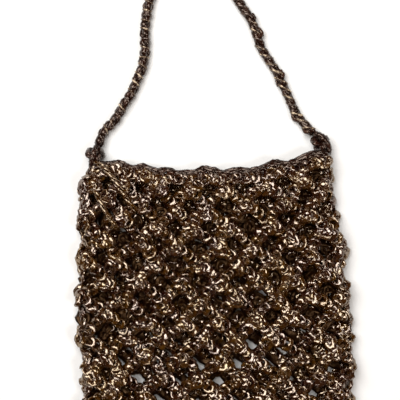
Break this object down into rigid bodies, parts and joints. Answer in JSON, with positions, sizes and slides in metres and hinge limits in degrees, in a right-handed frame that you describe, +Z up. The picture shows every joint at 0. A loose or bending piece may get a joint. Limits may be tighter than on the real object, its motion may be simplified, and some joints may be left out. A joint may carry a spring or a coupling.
{
  "type": "crochet leather bag",
  "caption": "Flat shoulder bag crocheted as an open diamond net of metallic leather lace, with a crocheted strap knotted to its top corners.",
  "frame": {"origin": "on the surface that the bag lies on, under the middle of the pouch's outline", "axes": "+Z up from that surface through the pouch's front, +Y from the pouch's bottom to its mouth, +X to the right as the front is seen"},
  "size_m": [0.315, 0.589, 0.0262],
  "materials": {
    "lace_net": "bronze foil on dark brown leather lace, glossy and creased",
    "lace_strap": "bronze foil on dark brown leather lace, glossy and creased",
    "lace_knots": "bronze foil on dark brown leather lace, glossy and creased"
  },
  "bodies": {
    "root": {"pouch": "lace_net", "strap": "lace_strap", "strap_knot_left": "lace_knots", "strap_knot_right": "lace_knots"}
  },
  "joints": []
}
